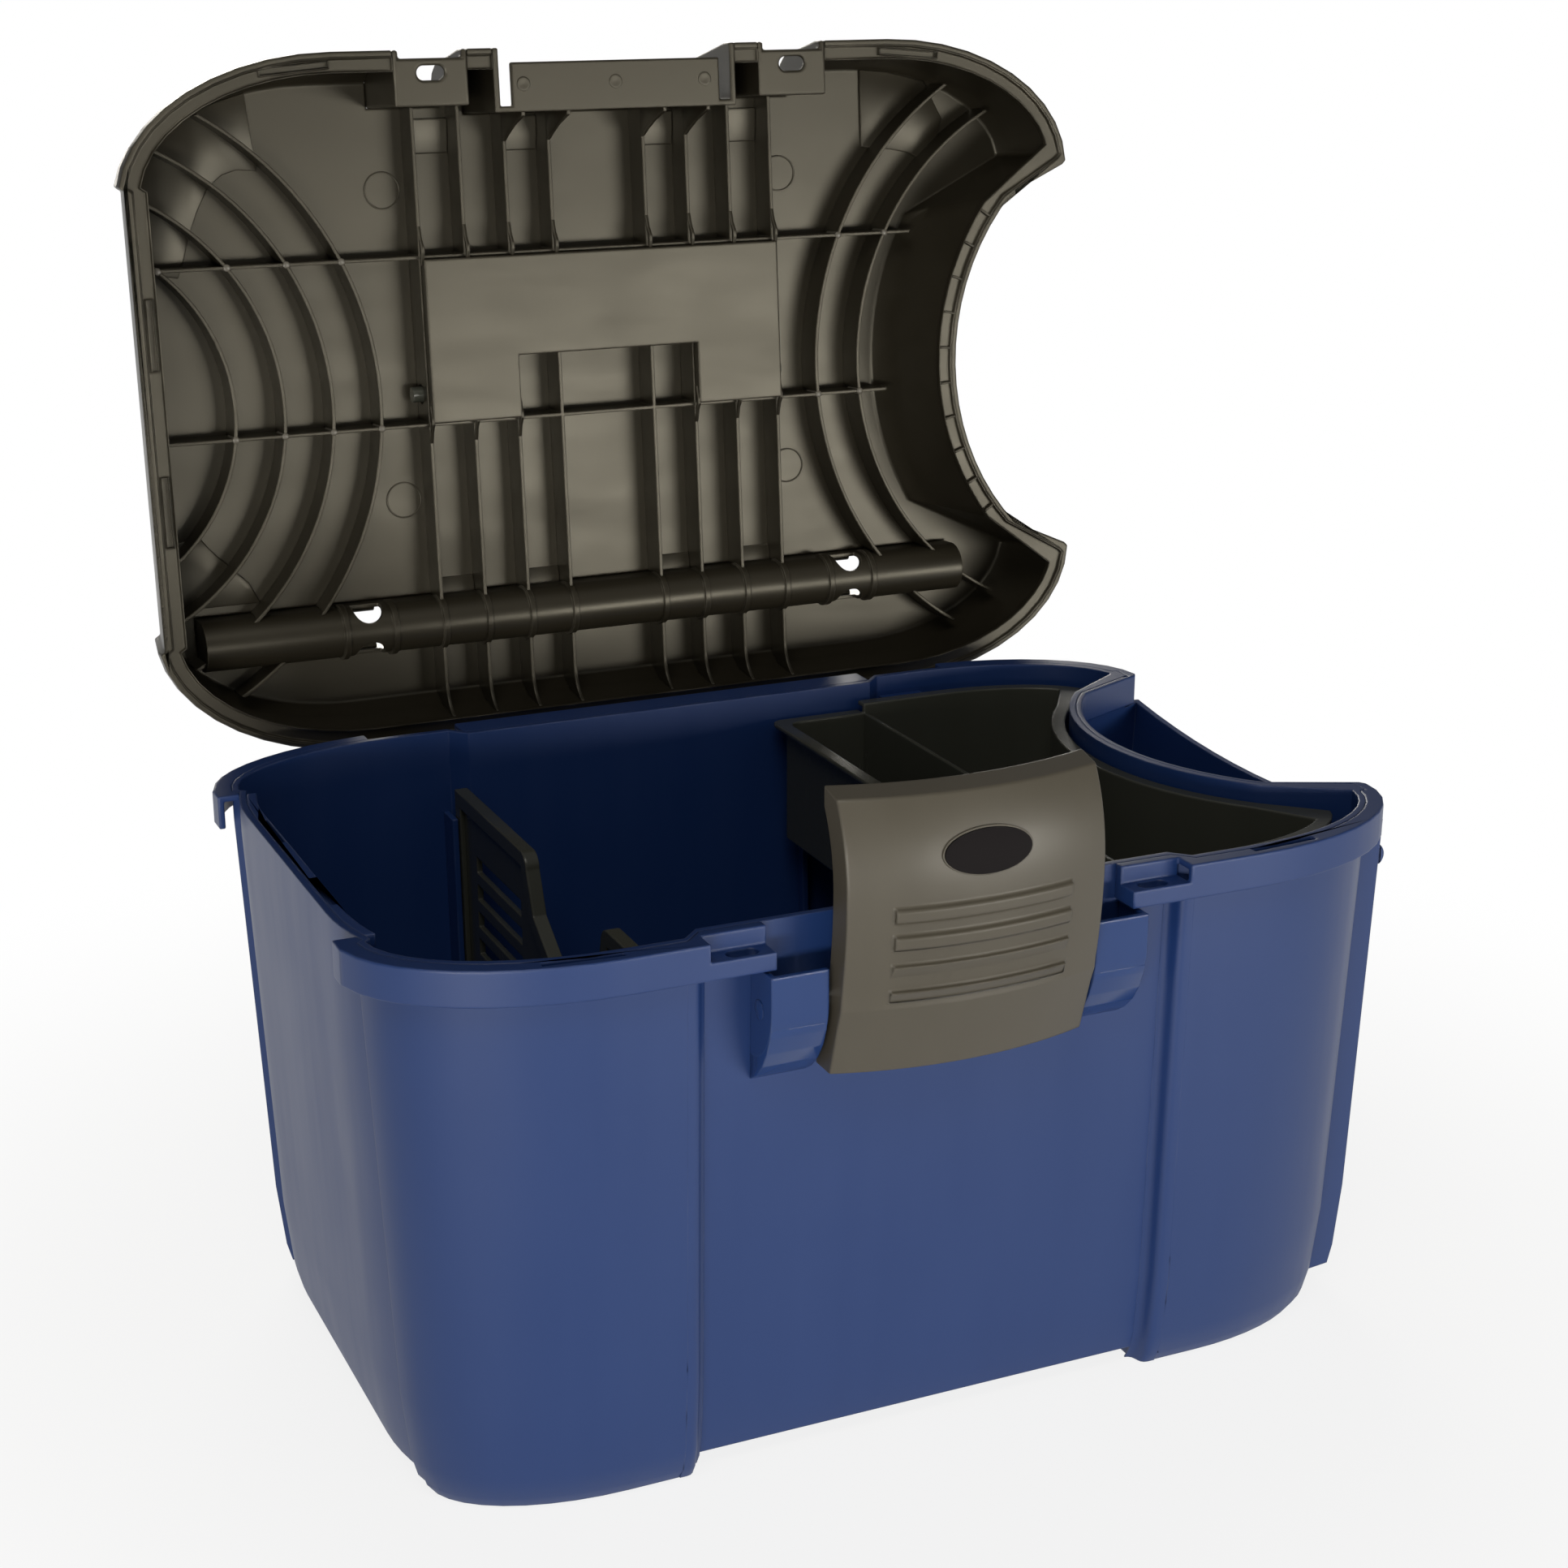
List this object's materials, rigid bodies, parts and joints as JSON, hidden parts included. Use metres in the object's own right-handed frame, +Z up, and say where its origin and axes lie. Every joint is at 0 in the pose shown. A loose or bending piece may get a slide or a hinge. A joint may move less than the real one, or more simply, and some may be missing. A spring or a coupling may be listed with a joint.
{
  "type": "horse grooming box",
  "caption": "Moulded grooming box with a hinged ribbed lid, folding carry handle, rocker latch, outer bottle pocket, lift-out tray and louvred divider.",
  "frame": {"origin": "on the floor plane through the feet, under the middle of the tub's plan, at the latch's centre line", "axes": "+Z up, front and latch towards -Y, bottle pocket towards +X"},
  "size_m": [0.5123, 0.4633, 0.5846],
  "materials": {
    "tub_plastic": "satin moulded polypropylene, blue",
    "lid_plastic": "satin moulded polypropylene, warm dark grey",
    "latch_plastic": "satin metallic-flecked warm grey",
    "tray_plastic": "semi-gloss black",
    "badge": "bare glossy oval",
    "steel": "plain pin"
  },
  "bodies": {
    "tub": {"tub_shell": "tub_plastic", "rim_band": "tub_plastic", "pocket_bead": "tub_plastic", "latch_sockets": "tub_plastic", "hinge_brackets": "tub_plastic", "hinge_pins": "steel", "tray_ledges": "tub_plastic", "divider_rails": "tub_plastic"},
    "lid": {"lid_shell": "lid_plastic", "lid_rim": "lid_plastic", "lid_cross_ribs": "lid_plastic", "lid_arc_ribs": "lid_plastic", "handle_pan": "lid_plastic", "whip_groove": "lid_plastic", "whip_clips": "lid_plastic", "latch_bay": "lid_plastic", "padlock_boxes": "lid_plastic", "lid_knuckles": "lid_plastic"},
    "handle": {"carry_handle": "tray_plastic", "handle_pins": "tray_plastic"},
    "latch": {"latch_cover": "latch_plastic", "latch_badge": "badge", "latch_axle": "steel"},
    "tray": {"tray_body": "tray_plastic", "tray_partition": "tray_plastic"},
    "divider": {"divider_panel": "tray_plastic", "divider_frame": "tray_plastic"}
  },
  "joints": [
    {"name": "lid_hinge", "type": "hinge", "parent": "tub", "child": "lid", "pos_m": [0, 0.174, 0.2408], "axis": [-1, 0, 0], "range_deg": [-94.3, 0]},
    {"name": "handle_fold", "type": "hinge", "parent": "lid", "child": "handle", "pos_m": [0, 0.24855, 0.41069], "axis": [-1, 0, 0], "range_deg": [0, 100]},
    {"name": "latch_rock", "type": "hinge", "parent": "tub", "child": "latch", "pos_m": [0, -0.16, 0.222], "axis": [-1, 0, 0], "range_deg": [0, 7]},
    {"name": "tray_lift", "type": "slide", "parent": "tub", "child": "tray", "axis": [0, 0, 1], "range_m": [0, 0.2]},
    {"name": "divider_lift", "type": "slide", "parent": "tub", "child": "divider", "axis": [0, 0, 1], "range_m": [0, 0.22]}
  ]
}
